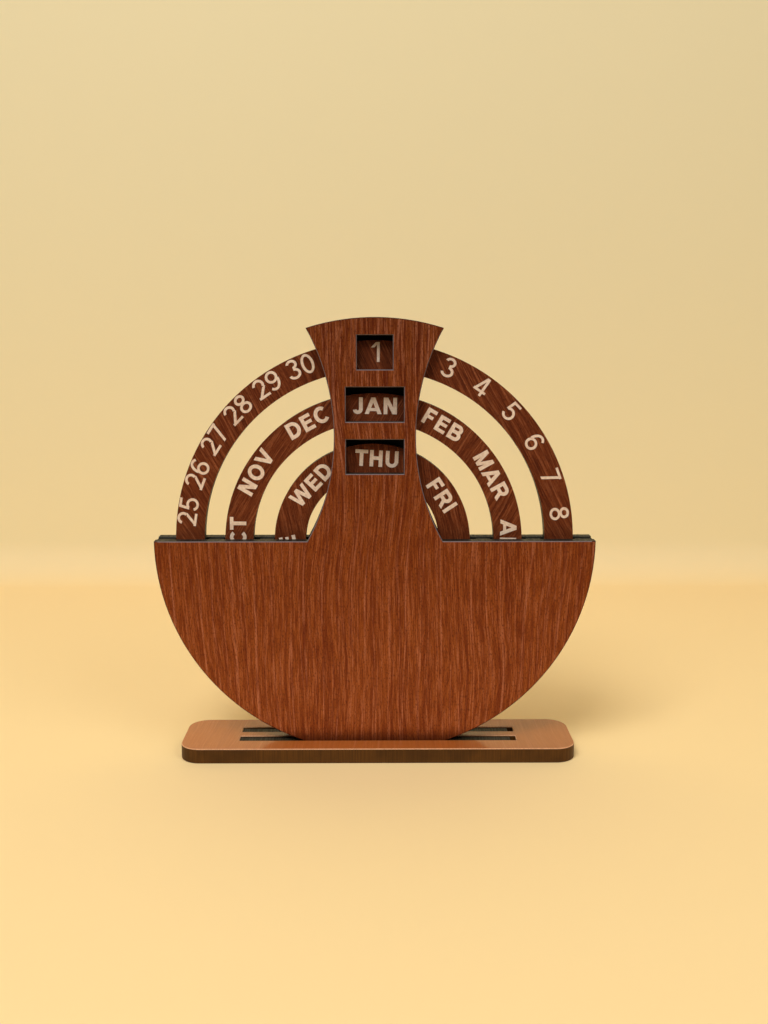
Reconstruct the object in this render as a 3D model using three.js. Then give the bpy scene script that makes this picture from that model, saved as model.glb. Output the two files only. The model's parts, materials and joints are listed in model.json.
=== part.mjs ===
// A wooden perpetual desk calendar, standing on its base. Millimetres, +Z up, +X to the reader's right.
// Two boards of one outline stand upright in a slotted base: a half disc, and a waisted neck that rises
// from its straight rim. The front board has three windows in its neck. Between the boards, arc-shaped
// spacers leave three round channels, in which the date, month and weekday rings turn. Their upper halves
// show above the rim, and the words and number of the day show through the windows.
// The origin is on the table, under the middle of the half disc; the reader sits on the -Y side.

import * as THREE from "three";

// Driving sizes: the boards
const boardThickness = 5.5;
const arris = 0.35; // the broken edge round every cut of a laminated board
const discClearance = 1.1; // from the disc's lowest point to the table

// Driving sizes: the spacers and the rings between them, from the hub out to the disc's rim
const hubSpacerRadius = 27;
const weekdayRingWidth = 13.5;
const monthWeekdaySpacerWidth = 6;
const monthRingWidth = 12.2;
const dateMonthSpacerWidth = 6.2;
const dateRingWidth = 12.4;
const rimSpacerWidth = 7.5;
const wordRingPlay = 1.9; // on each side of the month and the weekday ring
const dateRingPlay = 1.3; // on each side of the date ring
const ringFacePlay = 0.25; // between a ring's face and each board
const spacerDrop = 0.6; // from the boards' rim down to the spacers' ends

// Driving sizes: the neck, which both boards share
const neckWaist = 34.8; // full width where the neck is narrowest
const neckWaistRise = 45.5; // from the rim up to the waist
const neckSideRadius = 94;

// Where a ring lies loose in its channel: its centre's place right of and above the disc's centre, in shares
// of its play. Its weight keeps it low.
const dateRingRestShares = [-0.12, -0.65];
const monthRingRestShares = [-0.32, -0.7];
const weekdayRingRestShares = [-0.62, -0.47];

// Driving sizes: the windows in the front board
const dateWindowWidth = 15.1;
const dateWindowHeight = 14.3;
const wordWindowWidth = 24.6;
const wordWindowHeight = 14.6;
const dateWindowLift = 0.4; // the window's centre lies this much above the middle of its ring's channel
const monthWindowLift = 0.3;
const weekdayWindowLift = 0.8;

// Driving sizes: the base, and the tongues that stand in its slots
const baseLength = 173;
const baseDepth = 37.2;
const baseThickness = 6.6;
const baseCornerRadius = 9;
const tongueLength = 120;
const tongueShoulderDepth = 0.5; // from the base's top down to the tongues' shoulders
const tongueFootRise = 0.3; // from the table up to the tongues' ends
const slotSidePlay = 0.1; // between a tongue's face and the slot
const slotEndPlay = 2.6; // the slot is this much longer than the tongue

// Facets of the round stretches
const facetAngle = THREE.MathUtils.degToRad(2.5);
const cornerFacetAngle = THREE.MathUtils.degToRad(7.5);

// Radii and levels that follow from the sizes above
const weekdayRingInner = hubSpacerRadius + wordRingPlay;
const weekdayRingOuter = weekdayRingInner + weekdayRingWidth;
const monthRingInner = weekdayRingOuter + monthWeekdaySpacerWidth + 2 * wordRingPlay;
const monthRingOuter = monthRingInner + monthRingWidth;
const dateRingInner = monthRingOuter + wordRingPlay + dateMonthSpacerWidth + dateRingPlay;
const dateRingOuter = dateRingInner + dateRingWidth;
const discRadius = dateRingOuter + dateRingPlay + rimSpacerWidth;
const discCentreHeight = discRadius + discClearance;
const ringThickness = boardThickness - 2 * ringFacePlay;

// The tongues stand against the left ends of their slots, so the base reaches a little to the right.
const baseShift = slotEndPlay / 2 - slotSidePlay;

const panelWood = new THREE.MeshStandardMaterial({ color: 0x7a3c22, roughness: 0.45, metalness: 0 });
const ringWood = new THREE.MeshStandardMaterial({ color: 0x5c2c1c, roughness: 0.5, metalness: 0 });
const baseWood = new THREE.MeshStandardMaterial({ color: 0x8a5636, roughness: 0.35, metalness: 0 });
const spacerBoard = new THREE.MeshStandardMaterial({ color: 0x2b2723, roughness: 0.8, metalness: 0 });

// Upright outlines are drawn in the boards' plane, from the disc's centre: x to the right, y up.

// Points along an arc, both ends included; the arc runs clockwise where "to" is the smaller angle.
function arcPoints(centreX, centreY, radius, from, to, step = facetAngle) {
  const count = Math.max(1, Math.ceil(Math.abs(to - from) / step));
  return Array.from({ length: count + 1 }, (_, i) => {
    const angle = from + ((to - from) * i) / count;
    return new THREE.Vector2(centreX + radius * Math.cos(angle), centreY + radius * Math.sin(angle));
  });
}

// An arc about the disc's centre.
function discArc(radius, from, to) {
  return arcPoints(0, 0, radius, from, to);
}

// The angle at which a circle about the disc's centre meets a level below it, on the right.
function angleAtDepth(radius, depth) {
  return -Math.asin(depth / radius);
}

// The same points on the left side, in the order that carries the outline on.
function mirrored(points) {
  return points.map((p) => new THREE.Vector2(-p.x, p.y)).reverse();
}

// A rectangle's corners, drawn round its middle.
function rectangle(middleX, middleY, width, height) {
  const corners = [[-1, -1], [1, -1], [1, 1], [-1, 1]];
  return corners.map(([x, y]) => new THREE.Vector2(middleX + (x * width) / 2, middleY + (y * height) / 2));
}

// A board's solid, lying flat: its outline in x and y, and its thickness from z = 0 up.
function flatBoard(outline, holes, thickness, edge) {
  const shape = new THREE.Shape(outline);
  shape.holes = holes.map((points) => new THREE.Path(points));
  const geometry = new THREE.ExtrudeGeometry(shape, {
    depth: thickness - 2 * edge,
    bevelEnabled: edge > 0,
    bevelThickness: edge,
    bevelSize: edge,
    bevelOffset: -edge,
    bevelSegments: 1,
  });
  return geometry.translate(0, 0, edge);
}

// The same board stood up, with its middle layer on y = middle.
function uprightBoard(name, outline, holes, middle, thickness, edge, material) {
  const geometry = flatBoard(outline, holes, thickness, edge);
  geometry.rotateX(Math.PI / 2);
  geometry.translate(0, middle + thickness / 2, 0);
  const mesh = new THREE.Mesh(geometry, material);
  mesh.name = name;
  return mesh;
}

// The neck's right side is one arc, bowed inwards, from the rim up to a circle about the disc's centre.
const neckSideCentreX = neckWaist / 2 + neckSideRadius;
function neckSideFrom(startAngle, topRadius) {
  // The two circles' centres and their meeting point make a triangle; the law of cosines gives its angle.
  const between = Math.hypot(neckSideCentreX, neckWaistRise);
  const lean = Math.atan2(neckWaistRise, neckSideCentreX);
  const cosine = (between ** 2 + neckSideRadius ** 2 - topRadius ** 2) / (2 * between * neckSideRadius);
  const topAngle = Math.PI + lean - Math.acos(cosine);
  return arcPoints(neckSideCentreX, neckWaistRise, neckSideRadius, startAngle, topAngle);
}

// The arc that joins the neck's two sides over its middle, its end points left out.
function acrossNeck(radius, sidePoint, leftwards) {
  const angle = Math.atan2(sidePoint.y, sidePoint.x);
  const arc = discArc(radius, angle, Math.PI - angle).slice(1, -1);
  return leftwards ? arc : arc.reverse();
}

// The boards' outline: tongue, half disc, rim and neck.
function panelOutline() {
  const tongueFoot = tongueFootRise - discCentreHeight;
  const tongueShoulder = baseThickness - tongueShoulderDepth - discCentreHeight;
  const right = [
    new THREE.Vector2(tongueLength / 2, tongueFoot),
    new THREE.Vector2(tongueLength / 2, tongueShoulder),
    ...discArc(discRadius, angleAtDepth(discRadius, -tongueShoulder), 0),
    ...neckSideFrom(Math.PI + Math.asin(neckWaistRise / neckSideRadius), discRadius),
  ];
  return [...right, ...acrossNeck(discRadius, right.at(-1), true), ...mirrored(right)];
}

function panel(name, middle, windows) {
  return uprightBoard(name, panelOutline(), windows, middle, boardThickness, arris, panelWood);
}

// A window lies over the middle of its ring's channel, at the top of the turn.
function windowOver(ringOuter, ringInner, width, height, lift) {
  return rectangle(0, (ringOuter + ringInner) / 2 + lift, width, height);
}

// The rings are cut clean, without a broken edge, and lie where their play lets them rest.
function ring(name, outer, inner, play, restShares) {
  const fullTurn = 2 * Math.PI;
  const outline = discArc(outer, 0, fullTurn).slice(0, -1);
  const bore = discArc(inner, fullTurn, 0).slice(0, -1);
  const mesh = uprightBoard(name, outline, [bore], 0, ringThickness, 0, ringWood);
  mesh.position.set(play * restShares[0], 0, play * restShares[1]);
  return mesh;
}

function spacer(name, outline) {
  return uprightBoard(name, outline, [], 0, boardThickness, 0, spacerBoard);
}

// The lower half of a circle, from right to left, its two ends just below the boards' rim.
function lowerArc(radius) {
  const end = angleAtDepth(radius, spacerDrop);
  return discArc(radius, end, -Math.PI - end);
}

// Half of an annulus; without an inner radius it is half of a disc.
function halfRing(name, outer, inner) {
  const outerArc = lowerArc(outer).reverse();
  return spacer(name, inner ? [...outerArc, ...lowerArc(inner)] : outerArc);
}

// The outermost spacer's round foot is cut flat, and stands on the base between the two slots.
function rimSpacer() {
  const foot = angleAtDepth(discRadius, discCentreHeight - baseThickness);
  const right = discArc(discRadius, foot, angleAtDepth(discRadius, spacerDrop));
  const inner = lowerArc(dateRingOuter + dateRingPlay);
  return spacer("rim_spacer", [...right, ...inner, ...mirrored(right)]);
}

// The spacer in the neck's head, above the date ring.
function crownSpacer() {
  const inner = dateRingOuter + dateRingPlay;
  const innerCorner = neckSideFrom(Math.PI, inner).at(-1);
  const innerAngle = Math.atan2(innerCorner.y - neckWaistRise, innerCorner.x - neckSideCentreX);
  const side = neckSideFrom(innerAngle, discRadius);
  return spacer("crown_spacer", [
    ...side,
    ...acrossNeck(discRadius, side.at(-1), true),
    ...mirrored(side),
    ...acrossNeck(inner, innerCorner, false),
  ]);
}

// The base: a board with round corners, and a through slot for each panel's tongue.
function basePlate() {
  const quarter = Math.PI / 2;
  const corners = [[1, -1, -quarter], [1, 1, 0], [-1, 1, quarter], [-1, -1, Math.PI]];
  const outline = corners.flatMap(([sideX, sideY, from]) => {
    const centreX = sideX * (baseLength / 2 - baseCornerRadius);
    const centreY = sideY * (baseDepth / 2 - baseCornerRadius);
    return arcPoints(centreX, centreY, baseCornerRadius, from, from + quarter, cornerFacetAngle);
  });
  const slotLength = tongueLength + slotEndPlay;
  const slotWidth = boardThickness + 2 * slotSidePlay;
  const slots = [-boardThickness, boardThickness].map((y) => rectangle(0, y, slotLength, slotWidth));
  const mesh = new THREE.Mesh(flatBoard(outline, slots, baseThickness, arris), baseWood);
  mesh.name = "base_plate";
  mesh.position.x = baseShift;
  return mesh;
}

// What stands in the base: the panels in front of and behind the layer that spacers and rings share.
const upright = new THREE.Group();
upright.position.z = discCentreHeight;
upright.add(
  panel("front_panel", -boardThickness, [
    windowOver(dateRingOuter, dateRingInner, dateWindowWidth, dateWindowHeight, dateWindowLift),
    windowOver(monthRingOuter, monthRingInner, wordWindowWidth, wordWindowHeight, monthWindowLift),
    windowOver(weekdayRingOuter, weekdayRingInner, wordWindowWidth, wordWindowHeight, weekdayWindowLift),
  ]),
  panel("back_panel", boardThickness, []),
  rimSpacer(),
  halfRing("date_month_spacer", dateRingInner - dateRingPlay, monthRingOuter + wordRingPlay),
  halfRing("month_weekday_spacer", monthRingInner - wordRingPlay, weekdayRingOuter + wordRingPlay),
  halfRing("hub_spacer", hubSpacerRadius),
  crownSpacer(),
  ring("date_ring", dateRingOuter, dateRingInner, dateRingPlay, dateRingRestShares),
  ring("month_ring", monthRingOuter, monthRingInner, wordRingPlay, monthRingRestShares),
  ring("weekday_ring", weekdayRingOuter, weekdayRingInner, wordRingPlay, weekdayRingRestShares),
);

const calendar = new THREE.Group();
calendar.add(basePlate(), upright);

export default calendar;
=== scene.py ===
import json
import math

import bpy
import numpy as np
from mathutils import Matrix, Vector
from mathutils.geometry import delaunay_2d_cdt


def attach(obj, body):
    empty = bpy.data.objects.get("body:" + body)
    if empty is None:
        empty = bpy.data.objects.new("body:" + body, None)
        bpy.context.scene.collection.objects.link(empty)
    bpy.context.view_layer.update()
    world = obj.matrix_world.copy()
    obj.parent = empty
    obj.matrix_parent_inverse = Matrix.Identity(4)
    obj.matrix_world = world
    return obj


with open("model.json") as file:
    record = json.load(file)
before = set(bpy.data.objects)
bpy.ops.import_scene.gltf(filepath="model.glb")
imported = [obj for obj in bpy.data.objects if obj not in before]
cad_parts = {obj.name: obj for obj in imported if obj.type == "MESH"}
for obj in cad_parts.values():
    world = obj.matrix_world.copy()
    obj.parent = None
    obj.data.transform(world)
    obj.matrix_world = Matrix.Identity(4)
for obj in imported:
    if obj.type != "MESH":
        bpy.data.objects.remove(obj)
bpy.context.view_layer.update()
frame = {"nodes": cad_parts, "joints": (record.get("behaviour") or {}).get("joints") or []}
nodes = frame["nodes"]
scene = bpy.context.scene

# The viewpoint: a camera in front of the calendar, half a metre away and nearly as high as its crown. It
# looks down nine degrees, at a point just above the half disc's rim, from a hair right of the middle.
viewpoint = bpy.data.objects.new("viewpoint", bpy.data.cameras.new("viewpoint"))
viewpoint.data.lens = 39.37
viewpoint.location = (0.00063, -0.48085, 0.1866)
viewpoint.rotation_euler = (math.radians(80.664), 0, math.radians(-0.39))
scene.collection.objects.link(viewpoint)
scene.camera = viewpoint


# The studio: a pale cream table top that runs back to a pale wall, in soft light. A broad lamp hangs above
# the front left, a weaker one at the front right and one more over the wall. The room behind the camera
# is dim.
def tone(red, green, blue):
    """Turns a colour as a screen shows it, 0 to 255, into a shader's linear red, green, blue and alpha."""
    seen = np.array([red, green, blue]) / 255
    linear = np.where(seen <= 0.04045, seen / 12.92, ((seen + 0.055) / 1.055) ** 2.4)
    return (*linear, 1)


def add(tree, kind, inputs=None, **settings):
    """Adds a shader node. Settings are its own choices, and inputs gives its sockets values or links."""
    node = tree.nodes.new("ShaderNode" + kind)
    for name, value in settings.items():
        setattr(node, name, value)
    for socket, value in (inputs or {}).items():
        if isinstance(value, bpy.types.NodeSocket):
            tree.links.new(value, node.inputs[socket])
        else:
            node.inputs[socket].default_value = value
    return node


def finish_named(name):
    """A new material with only its output node, and its node tree."""
    finish = bpy.data.materials.new(name)
    finish.use_nodes = True
    finish.node_tree.nodes.clear()
    add(finish.node_tree, "OutputMaterial")
    return finish, finish.node_tree


def mesh_piece(name, points, faces, finish):
    """A new object at the origin from an array of points and one of faces, with its finish."""
    mesh = bpy.data.meshes.new(name)
    mesh.from_pydata(points, [], faces)
    mesh.materials.append(finish)
    piece = bpy.data.objects.new(name, mesh)
    scene.collection.objects.link(piece)
    return piece


STUDIO_WIDTH = 2.6
FLOOR_FRONT, TABLE_FRONT, WALL_AT, WALL_TOP = -1.15, -0.22, 0.345, 2.6
COVE_RADIUS = 0.03
CREAM, WALL_CREAM, SEEN_CREAM = tone(253, 221, 161), tone(247, 230, 182), tone(237, 210, 156)
DIM_FLOOR, DIM_ROOM = tone(60, 52, 44), (0.05, 0.048, 0.045, 1)
LAMP_WHITE = (1.0, 0.99, 0.97)

# The sweep's profile: the table runs back, turns up through a quarter round of the cove's radius, and
# rises as the wall.
turn = np.radians(np.linspace(0, 90, 13))
depths = np.concatenate([[FLOOR_FRONT], WALL_AT + COVE_RADIUS * (np.sin(turn) - 1), [WALL_AT]])
heights = np.concatenate([[0], COVE_RADIUS * (1 - np.cos(turn)), [WALL_TOP]])
across = np.array([-STUDIO_WIDTH / 2, STUDIO_WIDTH / 2])
sweep_points = np.stack(
    [np.tile(across, len(depths)), np.repeat(depths, 2), np.repeat(heights, 2)], axis=1
)
first = 2 * np.arange(len(depths) - 1)[:, None]
sweep_faces = first + np.array([0, 1, 3, 2])

studio_cream, tree = finish_named("studio_cream")
place = add(tree, "TexCoord").outputs["Object"]
position = add(tree, "SeparateXYZ", {0: place})
on_wall = add(tree, "MapRange", {"Value": position.outputs["Z"], "From Min": 0.0, "From Max": COVE_RADIUS})
swept = add(tree, "Mix", {"Factor": on_wall.outputs[0], "A": CREAM, "B": WALL_CREAM}, data_type="RGBA")
on_table = add(tree, "Math", {0: position.outputs["Y"], 1: TABLE_FRONT}, operation="GREATER_THAN")
seen_or_table = add(
    tree, "Math", {0: on_table.outputs[0], 1: add(tree, "LightPath").outputs["Is Camera Ray"]},
    operation="MAXIMUM",
)
lit = add(
    tree, "Mix", {"Factor": seen_or_table.outputs[0], "A": DIM_FLOOR, "B": swept.outputs[2]},
    data_type="RGBA",
)
matt_cream = add(tree, "BsdfPrincipled", {"Base Color": lit.outputs[2], "Roughness": 0.75})
one_sided = add(
    tree, "MixShader", {0: add(tree, "NewGeometry").outputs["Backfacing"], 1: matt_cream.outputs[0],
                        2: add(tree, "BsdfTransparent").outputs[0]},
)
tree.links.new(one_sided.outputs[0], tree.nodes["Material Output"].inputs[0])

sweep = mesh_piece("studio_sweep", sweep_points, sweep_faces.tolist(), studio_cream)
sweep.data.polygons.foreach_set("use_smooth", np.ones(len(sweep_faces), bool))


def soft_lamp(name, place, aim, size, power):
    """A square lamp of a given size at a place, turned to face the point it is aimed at."""
    lamp = bpy.data.objects.new(name, bpy.data.lights.new(name, "AREA"))
    lamp.data.size, lamp.data.energy, lamp.data.color = size, power, LAMP_WHITE
    lamp.location = place
    lamp.rotation_euler = (Vector(aim) - Vector(place)).to_track_quat("-Z", "Y").to_euler()
    scene.collection.objects.link(lamp)


soft_lamp("front_left_lamp", (-0.45, -0.90, 1.35), aim=(0, 0, 0.08), size=0.75, power=16.8)
soft_lamp("front_right_lamp", (0.95, -1.05, 1.10), aim=(0, 0, 0.08), size=0.90, power=5.7)
soft_lamp("wall_lamp", (0.0, -0.35, 1.9), aim=(0, 0.5, 0.35), size=1.00, power=5.9)

room = bpy.data.worlds.new("room")
room.use_nodes = True
seen_room = add(
    room.node_tree, "Mix", {"Factor": add(room.node_tree, "LightPath").outputs["Is Camera Ray"],
                            "A": DIM_ROOM, "B": SEEN_CREAM}, data_type="RGBA",
)
room.node_tree.links.new(seen_room.outputs[2], room.node_tree.nodes["Background"].inputs["Color"])
scene.world = room
scene.view_settings.view_transform = "Standard"


# The base: a board of wood-grain film on a brown fibreboard core, cut out by laser with round corners and
# two long slots. Its grain runs from front to back, and the cut has left its edges dark.
BASE_TOP = 0.0066
DISC_CENTRE = 0.0961

# How far a normal runs along its board's axis: on a cut's char and on the film. The arris is between.
CHAR_BELOW, FILM_ABOVE = 0.35, 0.9
GRAIN_WANDER = 0.0032
CHAR_LINE_WIDE, CHAR_LINE_LONG = 0.0006, 0.02
FOOT_SHADE_TALL = 0.0065
GRAIN_DEEP = 0.00006
LACQUER_ROUGHNESS = 0.06


def film_board(
    name, axis, grain_turn, tones, cut_tones, arris_tone, gloss, figure, shift,
    outer=0, light_slope=0.0, growth=0.0, highlight_reach=None, foot_shade=0.0, lacquer=0.0,
):
    """
    A board's finish. Film lies where the normal runs along the axis of the board's faces, the cut's char
    where it runs across, and the film's rim on the arris between them, its light colour partly a painted
    highlight. The film's grain is noise drawn out along one direction, for bands, streaks, lines and short
    pores, and thin veins at the crests of a sine wave across it, all pushed aside by slow waves. Figure is
    how strong it is. The char has fine lines through the board's thickness. With outer at 1 or -1 only the
    face on that side has film, and the other face and its arris take the char's dark colour, as painted
    shade. The painted light slope is how much brighter the film is painted for each metre to the right,
    on a level board, or up, on an upright one, and growth how much stronger its grain is for each metre
    above the disc's centre. The arris's painted highlight reaches only within the highlight reach of that
    centre and is painted dark beyond it, foot_shade paints shade on the film just above the base, and
    lacquer is a clear layer's weight on it.
    """
    finish, tree = finish_named(name)
    coordinates = add(tree, "TexCoord").outputs
    spot = coordinates["Object"]
    turned = add(tree, "Mapping", {"Vector": spot, "Location": shift, "Rotation": grain_turn}).outputs[0]

    def math_of(operation, *terms):
        """One operation on numbers or node outputs."""
        return add(tree, "Math", dict(enumerate(terms)), operation=operation).outputs[0]

    def drawn_out(source, wide, long, detail=2.0, rough=0.6):
        """Noise with features so wide across the grain and so long along it, in metres."""
        stretched = add(
            tree, "Mapping", {"Vector": source, "Scale": (1 / wide, 1 / wide, 1 / long)}
        ).outputs[0]
        return add(
            tree, "TexNoise", {"Vector": stretched, "Scale": 1.0, "Detail": detail, "Roughness": rough}
        ).outputs[0]

    def between(value, low, high, to_low=0.0, to_high=1.0):
        """The value's way from low to high, smoothed, as a number from to_low to to_high."""
        return add(
            tree, "MapRange",
            {"Value": value, "From Min": low, "From Max": high, "To Min": to_low, "To Max": to_high},
            interpolation_type="SMOOTHSTEP",
        ).outputs[0]

    def blend(factor, first, second):
        """The first colour, turned into the second by a factor."""
        return add(tree, "Mix", {"Factor": factor, "A": first, "B": second}, data_type="RGBA").outputs[2]

    def darker(colour, share):
        """A colour at a share of its light."""
        return (*(share * part for part in colour[:3]), 1)

    def veins(spacing, wander, wander_wide, wander_long, thinness, strength):
        """Thin light lines along the grain: crests of a sine across it, whose phase wanders with noise."""
        roam = between(drawn_out(grain, wander_wide, wander_long, 1.0), 0.2, 0.8, -wander, wander)
        across_grain = math_of("ADD", add(tree, "SeparateXYZ", {0: grain}).outputs["X"], roam)
        crest = math_of("SINE", math_of("MULTIPLY", across_grain, 2 * math.pi / spacing))
        broken = between(drawn_out(grain, 0.005, 0.020), 0.36, 0.60, 0.15 * strength, strength)
        return math_of("MULTIPLY", between(crest, thinness, 1.0), broken)

    axes = add(tree, "SeparateXYZ", {0: spot}).outputs
    if growth:
        above_centre = math_of("MAXIMUM", math_of("SUBTRACT", axes["Z"], DISC_CENTRE), 0.0)
        growing = math_of("MULTIPLY_ADD", above_centre, growth, 1.0)

    def grown(factor):
        """A factor made larger with the height above the disc's centre."""
        return math_of("MULTIPLY", factor, growing) if growth else factor

    wave = drawn_out(turned, 0.060, 0.110, 1.0)
    pushed = add(
        tree, "CombineXYZ", {0: between(wave, 0.25, 0.75, -GRAIN_WANDER, GRAIN_WANDER)}
    ).outputs[0]
    grain = add(tree, "VectorMath", {0: turned, 1: pushed}, operation="ADD").outputs[0]
    band = drawn_out(grain, 0.007, 0.30, 1.0)
    streak = drawn_out(grain, 0.0013, 0.070)
    line = drawn_out(grain, 0.00042, 0.0095)
    pore = drawn_out(grain, 0.00036, 0.0012, 1.0)

    # The film's colour: bands and streaks, then veins, then dark and light lines, and the pores over them.
    dark, middle, light = tones
    film = blend(between(band, 0.32, 0.68, 0.3, 0.8), dark, middle)
    film = blend(between(streak, 0.38, 0.60, 0.4, 0.9), film, middle)
    film = blend(grown(between(streak, 0.36, 0.50, 0.30 * figure, 0.0)), film, dark)
    film = blend(grown(veins(0.0069, 0.0036, 0.022, 0.200, 0.91, 0.62 * figure)), film, light)
    film = blend(grown(veins(0.0041, 0.0022, 0.013, 0.150, 0.90, 0.44 * figure)), film, light)
    film = blend(between(line, 0.36, 0.56, 0.60 * figure, 0.0), film, dark)
    film = blend(grown(between(line, 0.53, 0.68, 0.0, 0.42 * figure)), film, light)
    film = blend(between(pore, 0.50, 0.68, 0.0, 0.55 * figure ** 2), film, darker(dark, 0.45))
    # Painted light: the film is painted brighter or darker along the board, as the light falls across it.
    if light_slope:
        level = math_of("MULTIPLY_ADD", axes["X" if axis == "Z" else "Z"], light_slope, 1.0)
        film = add(tree, "HueSaturation", {"Value": level, "Color": film}).outputs[0]
    # Painted shade: the film darkens just above the base, where the board stands in its slot.
    if foot_shade:
        foot = between(axes["Z"], BASE_TOP, BASE_TOP + FOOT_SHADE_TALL, foot_shade, 0.0)
        film = blend(foot, film, darker(dark, 0.15))

    # The char's colour: fine lines through the board, under patches of soot.
    through = [1 / CHAR_LINE_WIDE] * 3
    through["XYZ".index(axis)] = 1 / CHAR_LINE_LONG
    cut_place = add(tree, "Mapping", {"Vector": spot, "Scale": through}).outputs[0]
    cut_line = add(tree, "TexNoise", {"Vector": cut_place, "Scale": 1.0, "Detail": 3.0}).outputs[0]
    soot = add(tree, "TexNoise", {"Vector": spot, "Scale": 70.0, "Detail": 2.0}).outputs[0]
    char = blend(between(cut_line, 0.3, 0.7, 0.2, 0.8), *cut_tones)
    char = blend(between(soot, 0.40, 0.70, 0.0, 0.7), char, cut_tones[0])

    # The arris's colour, partly a painted highlight: dimmed here and there and, beyond the highlight
    # reach, painted dark everywhere.
    arris_dimming = between(cut_line, 0.35, 0.65, 0.0, 0.3)
    if highlight_reach:
        off_centre = add(
            tree, "VectorMath", {0: spot, 1: (0, 0, DISC_CENTRE)}, operation="DISTANCE"
        ).outputs["Value"]
        arris_dimming = math_of("MAXIMUM", math_of("GREATER_THAN", off_centre, highlight_reach), arris_dimming)
    arris = blend(arris_dimming, arris_tone, darker(dark, 0.4))

    # Where each lies, and the surface's gloss and relief.
    along = add(tree, "SeparateXYZ", {0: coordinates["Normal"]}).outputs[axis]
    # With outer set, the other face and its arris take the char's dark colour: painted shade.
    facing = math_of("MULTIPLY", along, outer) if outer else math_of("ABSOLUTE", along)
    off_cut = math_of("GREATER_THAN", facing, CHAR_BELOW)
    on_film = math_of("GREATER_THAN", facing, FILM_ABOVE)
    colour = blend(on_film, blend(off_cut, char, arris), film)
    film_gloss = between(line, 0.3, 0.7, gloss + 0.06 * figure ** 2, gloss - 0.04 * figure ** 2)
    char_gloss = between(cut_line, 0.3, 0.7, 0.58, 0.42)
    roughness = add(tree, "Mix", {"Factor": on_film, "A": char_gloss, "B": film_gloss}).outputs[0]
    grooves = math_of("SUBTRACT", between(line, 0.3, 0.7), between(pore, 0.58, 0.70))
    height = add(tree, "Mix", {"Factor": on_film, "A": cut_line, "B": grooves}).outputs[0]
    relief = add(
        tree, "Bump", {"Height": height, "Strength": 0.45 * figure ** 3, "Distance": GRAIN_DEEP}
    ).outputs[0]
    surface = add(
        tree, "BsdfPrincipled",
        {"Base Color": colour, "Roughness": roughness, "Normal": relief, "Specular IOR Level": 0.2},
    )
    if lacquer:
        tree.links.new(math_of("MULTIPLY", on_film, lacquer), surface.inputs["Coat Weight"])
        surface.inputs["Coat Roughness"].default_value = LACQUER_ROUGHNESS
    tree.links.new(surface.outputs[0], tree.nodes["Material Output"].inputs[0])
    return finish


# The base's film tones are lighter than the uprights', partly as painted light on its top, its film is
# painted lighter towards the left, and its top arris tone is partly a painted highlight.
nodes["base_plate"].material_slots[0].material = film_board(
    "base_film", "Z", grain_turn=(math.radians(90), 0, 0),
    tones=(tone(160, 82, 34), tone(180, 98, 40), tone(206, 126, 88)),
    cut_tones=(tone(68, 40, 9), tone(104, 64, 20)), arris_tone=tone(224, 166, 122),
    gloss=0.30, figure=0.34, shift=(0.031, 0.0, 0.0), outer=1, light_slope=-1.2, lacquer=0.60,
)

# The spacers: bare brown fibreboard arcs, a hub and a crown, glued between the two uprights. Each arc's
# ends show in the half disc's rim, and the laser has left their edges nearly black. Their faces are
# painted nearly black as well, as painted shade between the uprights.
spacer_char_and_shade = film_board(
    "spacer_char_and_shade", "Y", grain_turn=(0, 0, 0),
    tones=(tone(24, 17, 12), tone(34, 24, 17), tone(46, 34, 24)),
    cut_tones=(tone(18, 15, 10), tone(40, 34, 24)), arris_tone=tone(40, 34, 24),
    gloss=0.60, figure=0.6, shift=(0.11, 0.0, 0.02),
)
for spacer in ("rim_spacer", "date_month_spacer", "month_weekday_spacer", "hub_spacer", "crown_spacer"):
    nodes[spacer].material_slots[0].material = spacer_char_and_shade

# The uprights: two half discs with a waisted neck, cut from the same red-brown film board, the front one
# with three windows. Their grain stands upright, and they are glued to the spacers between them.
for upright, outer, shift in (
    ("front_panel", -1, (0.013, 0.0, 0.04)),
    ("back_panel", 1, (0.413, 0.0, 0.14)),
):
    # Their arris tone is partly a painted highlight, their film is painted lighter towards the bottom, and
    # painted shade lies at their feet and on their inner faces.
    nodes[upright].material_slots[0].material = film_board(
        upright + "_film", "Y", grain_turn=(0, 0, 0),
        tones=(tone(110, 36, 6), tone(162, 80, 28), tone(200, 118, 80)),
        cut_tones=(tone(24, 22, 14), tone(50, 47, 40)), arris_tone=tone(126, 110, 110),
        gloss=0.36, figure=1.02, shift=shift, outer=outer, light_slope=-2.1, growth=12.0,
        highlight_reach=0.0937, foot_shade=0.7,
    )

# The rings: three thin flat rings of a darker red-brown film board, for the date, the month and the
# weekday. Each lies loose between two spacers and is turned by hand, and its grain has come round with it.
for ring, grain_lean, shift in (
    ("date_ring", 28, (0.21, 0.0, 0.03)),
    ("month_ring", -30, (0.61, 0.0, 0.11)),
    ("weekday_ring", 4, (0.83, 0.0, 0.27)),
):
    nodes[ring].material_slots[0].material = film_board(
        ring + "_film", "Y", grain_turn=(0, math.radians(grain_lean), 0),
        tones=(tone(69, 20, 1), tone(119, 56, 25), tone(172, 98, 60)),
        cut_tones=(tone(16, 15, 7), tone(36, 31, 18)), arris_tone=tone(32, 28, 16),
        gloss=0.40, figure=0.9, shift=shift,
    )


# The markings: the days' numbers in thin strokes, the months and weekdays in bold ones, engraved by laser
# through the rings' film down to the pale board. Each mark stands upright on its ring's radius.
def bar(foot, head, half):
    """A straight stroke with square ends: foot and head, each moved half a width to both sides."""
    foot, head = np.array(foot), np.array(head)
    run = (head - foot) / np.hypot(*(head - foot))
    side = half * np.array([-run[1], run[0]])
    return np.array([foot - side, head - side, head + side, foot + side])


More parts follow.
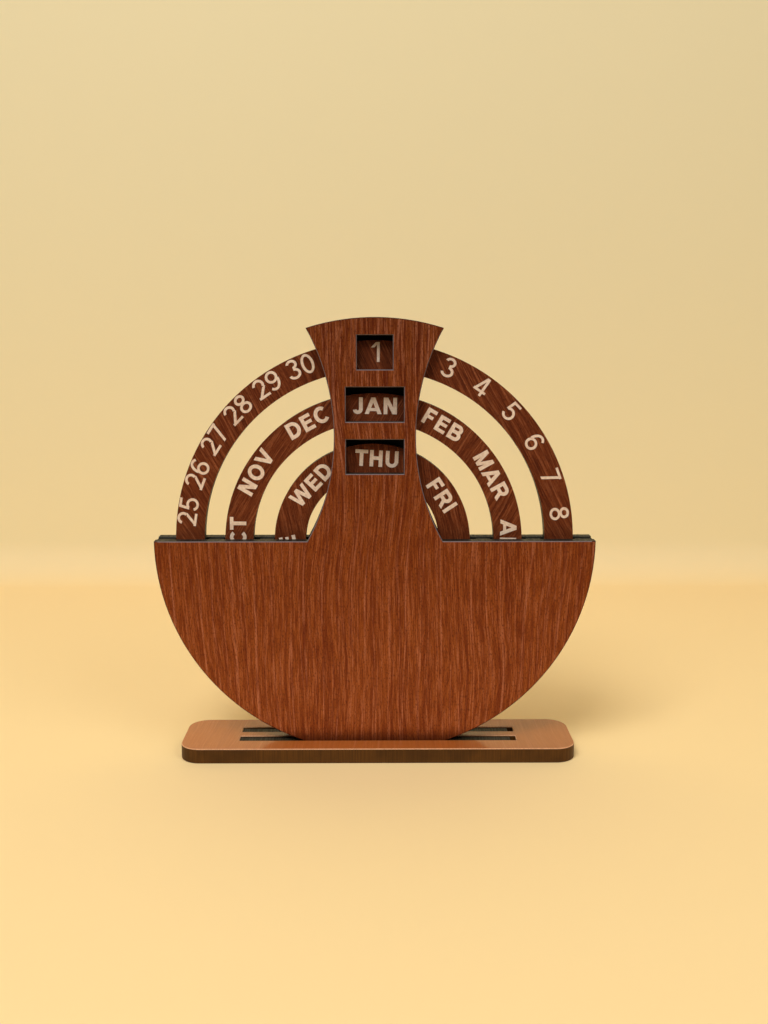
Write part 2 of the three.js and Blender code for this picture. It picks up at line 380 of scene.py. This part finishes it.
def slant(foot, head, half):
    """A sloping stroke with level ends: foot and head, moved sideways by half over the slope's sine."""
    foot, head = np.array(foot), np.array(head)
    run = head - foot
    side = np.array([half * np.hypot(*run) / run[1], 0])
    return np.array([foot - side, foot + side, head + side, head - side])


def bow(centre, radii, start, stop, half):
    """A curved stroke: the band between two ellipses, half a width in and out of the given one."""
    angle = np.radians(np.linspace(*sorted((start, stop)), 3 + int(abs(stop - start) / 12)))[:, None]
    ray = np.hstack([np.cos(angle), np.sin(angle)])
    outer, inner = ray * (np.array(radii) + half), ray * (np.array(radii) - half)
    return np.array(centre) + np.vstack([outer, inner[::-1]])


def bowl(h, x, bottom, top, reach):
    """A bowl to the right of x: two level strokes, and the half ellipse that joins them on the right."""
    middle, tall = (bottom + top) / 2, (top - bottom) / 2
    return [
        bar((h, bottom), (x, bottom), h), bar((h, top), (x, top), h),
        bow((x, middle), (reach - x - h, tall), -90, 90, h),
    ]


def loop(h, centre, wide, tall):
    """A closed oval of the given outer half width and half height, in two bows."""
    radii = (wide - h, tall - h)
    return [bow(centre, radii, 0, 180, h), bow(centre, radii, 180, 360, h)]


def letters(h):
    """
    Each capital as (free space to its left, width, free space to its right, strokes), in units of its
    height, for strokes of half width h.
    """
    low, mid, high = h, 0.52, 1 - h
    post = bar((h, 0), (h, 1), h)
    near, round_side, sloped = 0.09, 0.07, 0.02
    return {
        "A": (sloped, 0.96, sloped, [
            slant((1.1 * h, 0), (0.48, 1), h), slant((0.96 - 1.1 * h, 0), (0.48, 1), h),
            bar((0.22, 0.27), (0.74, 0.27), 0.85 * h)]),
        "B": (near, 0.76, 0.06, [post, *bowl(h, 0.44, low, mid, 0.76), *bowl(h, 0.42, mid, high, 0.72)]),
        "C": (round_side, 0.80, 0.04, [bow((0.43, 0.5), (0.43 - h, 0.51 - h), 42, 318, h)]),
        "D": (near, 0.77, round_side, [post, *bowl(h, 0.32, low, high, 0.77)]),
        "E": (near, 0.65, 0.08, [
            post, bar((h, low), (0.65, low), h), bar((h, mid), (0.60, mid), 0.95 * h),
            bar((h, high), (0.63, high), h)]),
        "F": (near, 0.60, 0.14, [
            post, bar((h, 0.5), (0.54, 0.5), 0.95 * h), bar((h, high), (0.60, high), h)]),
        "G": (round_side, 0.84, near, [
            bow((0.44, 0.5), (0.44 - h, 0.51 - h), 42, 330, h), bar((0.48, 0.42), (0.84, 0.42), h),
            bar((0.84 - h, 0.14), (0.84 - h, 0.42), h)]),
        "H": (near, 0.74, near, [
            post, bar((0.74 - h, 0), (0.74 - h, 1), h), bar((h, mid), (0.74 - h, mid), h)]),
        "I": (near, 2 * h, near, [post]),
        "J": (0.03, 0.56, near, [
            bar((0.56 - h, 0.27), (0.56 - h, 1), h),
            bow((0.28, 0.28), (0.28 - h, 0.29 - h), 188, 360, h)]),
        "L": (near, 0.62, 0.03, [post, bar((h, low), (0.62, low), h)]),
        "M": (near, 0.88, near, [
            post, bar((0.88 - h, 0), (0.88 - h, 1), h), slant((0.44, 0), (1.15 * h, 1), 0.85 * h),
            slant((0.44, 0), (0.88 - 1.15 * h, 1), 0.85 * h)]),
        "N": (near, 0.75, near, [
            post, bar((0.75 - h, 0), (0.75 - h, 1), h), slant((0.75 - 1.2 * h, 0), (1.2 * h, 1), h)]),
        "O": (round_side, 0.88, round_side, loop(h, (0.44, 0.5), 0.44, 0.51)),
        "P": (near, 0.72, 0.05, [post, *bowl(h, 0.42, 0.43, high, 0.72)]),
        "R": (near, 0.82, 0.02, [
            post, *bowl(h, 0.46, 0.46, high, 0.77), slant((0.82 - 1.2 * h, 0), (0.46, 0.46), h)]),
        "S": (0.06, 0.72, 0.06, [
            bow((0.36, 0.75), (0.345 - h, 0.26 - h), 22, 270, h),
            bow((0.36, 0.26), (0.36 - h, 0.27 - h), 90, -158, h)]),
        "T": (0.02, 0.74, 0.02, [bar((0.37, 0), (0.37, 1), h), bar((0, high), (0.74, high), h)]),
        "U": (near, 0.74, near, [
            bar((h, 0.35), (h, 1), h), bar((0.74 - h, 0.35), (0.74 - h, 1), h),
            bow((0.37, 0.36), (0.37 - h, 0.37 - h), 180, 360, h)]),
        "V": (sloped, 0.88, sloped, [
            slant((0.44, 0), (1.1 * h, 1), h), slant((0.44, 0), (0.88 - 1.1 * h, 1), h)]),
        "W": (sloped, 1.24, sloped, [
            slant((0.34, 0), (1.1 * h, 1), 0.95 * h), slant((0.34, 0), (0.62, 1), 0.95 * h),
            slant((0.90, 0), (0.62, 1), 0.95 * h), slant((0.90, 0), (1.24 - 1.1 * h, 1), 0.95 * h)]),
        "Y": (sloped, 0.86, sloped, [
            slant((0.43, 0.38), (1.15 * h, 1), h), slant((0.43, 0.38), (0.86 - 1.15 * h, 1), h),
            bar((0.43, 0), (0.43, 0.46), h)]),
    }


def numerals(h):
    """Each numeral in the same form as the capitals, for strokes of half width h."""
    side = 0.06
    return {
        "0": (side, 0.60, side, loop(h, (0.30, 0.5), 0.30, 0.505)),
        "1": (side, 0.36, 0.14, [
            bar((0.36 - h, 0), (0.36 - h, 1), h), slant((0.03, 0.73), (0.36 - 1.6 * h, 1), h)]),
        "2": (side, 0.60, side, [
            bow((0.30, 0.71), (0.29 - h, 0.295 - h), 172, -38, h), slant((h + 0.03, h), (0.50, 0.54), h),
            bar((0, h), (0.60, h), h)]),
        "3": (side, 0.60, side, [
            bow((0.29, 0.755), (0.27 - h, 0.25 - h), 165, -90, h),
            bow((0.29, 0.275), (0.31 - h, 0.28 - h), 90, -165, h)]),
        "4": (side, 0.64, side, [
            bar((0.51 - h, 0), (0.51 - h, 1), h), slant((h + 0.01, 0.24), (0.51 - 1.6 * h, 1), h),
            bar((0, 0.24), (0.64, 0.24), h)]),
        "5": (side, 0.60, side, [
            bar((0.12, 1 - h), (0.55, 1 - h), h), slant((0.09, 0.47), (0.16, 1), h),
            bow((0.29, 0.32), (0.31 - h, 0.325 - h), 138, -160, h)]),
        "6": (side, 0.60, side, [
            *loop(h, (0.30, 0.31), 0.30, 0.315), bow((0.36, 0.49), (0.36 - h, 0.515 - h), 48, 182, h)]),
        "7": (side, 0.58, side, [bar((0, 1 - h), (0.58, 1 - h), h), slant((0.20, 0), (0.50, 1 - h), h)]),
        "8": (side, 0.60, side, [
            *loop(h, (0.30, 0.755), 0.27, 0.25), *loop(h, (0.30, 0.275), 0.30, 0.28)]),
        "9": (side, 0.60, side, [
            *loop(h, (0.30, 0.69), 0.30, 0.315), bow((0.24, 0.51), (0.36 - h, 0.515 - h), 228, 362, h)]),
    }


RING_FACE = -0.0025
MARK_PROUD, MARK_SUNK = 0.00004, 0.00006
SAME_POINT = 1e-7
ring_centres = {joint["child"]: joint["pos_m"] for joint in frame["joints"] if joint["type"] == "hinge"}

engraved, tree = finish_named("engraved_board")
place = add(tree, "TexCoord").outputs["Object"]
fibre = add(
    tree, "TexNoise", {"Vector": place, "Scale": 900.0, "Detail": 4.0, "Roughness": 0.7}
).outputs[0]
patch = add(tree, "TexNoise", {"Vector": place, "Scale": 140.0, "Detail": 2.0}).outputs[0]
pale_share = add(tree, "MapRange", {"Value": fibre, "From Min": 0.3, "From Max": 0.7}).outputs[0]
singed_share = add(
    tree, "MapRange", {"Value": patch, "From Min": 0.5, "From Max": 0.8, "To Max": 0.35}
).outputs[0]
pale = add(
    tree, "Mix", {"Factor": pale_share, "A": tone(230, 194, 166), "B": tone(254, 232, 206)},
    data_type="RGBA",
).outputs[2]
singed = add(
    tree, "Mix", {"Factor": singed_share, "A": pale, "B": tone(198, 158, 122)}, data_type="RGBA"
).outputs[2]
pitted = add(tree, "Bump", {"Height": fibre, "Strength": 0.4, "Distance": 0.00005}).outputs[0]
matt = add(
    tree, "BsdfPrincipled",
    {"Base Color": singed, "Roughness": 0.85, "Normal": pitted, "Specular IOR Level": 0.25},
)
tree.links.new(matt.outputs[0], tree.nodes["Material Output"].inputs[0])


def marks_on_ring(name, body, words, clocks, glyphs, tall, spread, mid_radius, slip):
    """
    One thin plate of every mark on a ring. A word's strokes are set side by side, centred, scaled to its
    height and spread sideways, moved out to the ring's middle radius and turned clockwise to its place,
    and the strokes' union is cut into triangles. The plate's rim is drawn from the triangles' outer edges,
    back into the ring. Slip is how far right of and above the ring's centre the marks' own centre lies.
    """
    points, faces = [], []
    for word, clock in zip(words, np.radians(clocks)):
        width = sum(sum(glyphs[sign][:3]) for sign in word) - glyphs[word[0]][0] - glyphs[word[-1]][2]
        turned = np.array([[math.cos(clock), -math.sin(clock)], [math.sin(clock), math.cos(clock)]])
        pen = -width / 2 - glyphs[word[0]][0]
        for sign in word:
            left, wide, right, strokes = glyphs[sign]
            pen += left
            flat = (np.vstack(strokes) + [pen, -0.5]) * [tall * spread, tall] + [0, mid_radius]
            ends = np.cumsum([0, *map(len, strokes)])
            outlines = [list(range(a, b)) for a, b in zip(ends, ends[1:])]
            corners, _, cells, _, _, cell_strokes = delaunay_2d_cdt(
                [Vector(point) for point in flat @ turned], [], outlines, 1, SAME_POINT
            )
            start = sum(map(len, points))
            points.append(np.array([tuple(corner) for corner in corners]))
            faces += [
                [start + corner for corner in cell] for cell, held in zip(cells, cell_strokes) if held
            ]
            pen += wide + right
    flat = np.vstack(points) + np.array(ring_centres[body])[[0, 2]] + slip
    front = np.insert(flat, 1, RING_FACE - MARK_PROUD, axis=1)
    back = front + [0, MARK_PROUD + MARK_SUNK, 0]
    triangles = np.array(faces)
    edges = {tuple(edge) for pair in ([0, 1], [1, 2], [2, 0]) for edge in triangles[:, pair].tolist()}
    count = len(flat)
    rim = [(a, a + count, b + count, b) for a, b in edges if (b, a) not in edges]
    backs = (triangles[:, ::-1] + count).tolist()
    piece = mesh_piece(name, np.vstack([front, back]), faces + backs + rim, engraved)
    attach(piece, body)


# The marks' places clockwise from the top, in degrees. The numbers crowd a little towards the ring's top
# and foot, and 1 and 24 stand aside. The words stand a little unevenly.
steps = [360 / 31 * day for day in range(31)]
aside = {0: 0.3, 23: -1.4}
marks_on_ring(
    "date_numbers", "date_ring", [str(day) for day in range(1, 32)],
    [0.4 + step - 0.6 * math.sin(math.radians(2 * step)) + aside.get(day, 0)
     for day, step in enumerate(steps)],
    numerals(0.064), tall=0.00835, spread=1.085, mid_radius=0.0813, slip=(-0.0004, 0),
)
marks_on_ring(
    "month_names", "month_ring", "JAN FEB MAR APR MAY JUN JUL AUG SEP OCT NOV DEC".split(),
    (0.8, 30.8, 60.85, 91.0, 121.2, 150.7, 180.6, 210.6, 240.6, 270.65, 301.05, 331.5),
    letters(0.108), tall=0.0071, spread=1.065, mid_radius=0.0586, slip=(-0.0002, 0.0005),
)
marks_on_ring(
    "weekday_names", "weekday_ring", "THU FRI SAT SUN MON TUE WED".split(),
    (3.1, 56.2, 107.5, 158.5, 209.5, 259.4, 312.95),
    letters(0.108), tall=0.0071, spread=1.045, mid_radius=0.0361, slip=(0, 0),
)
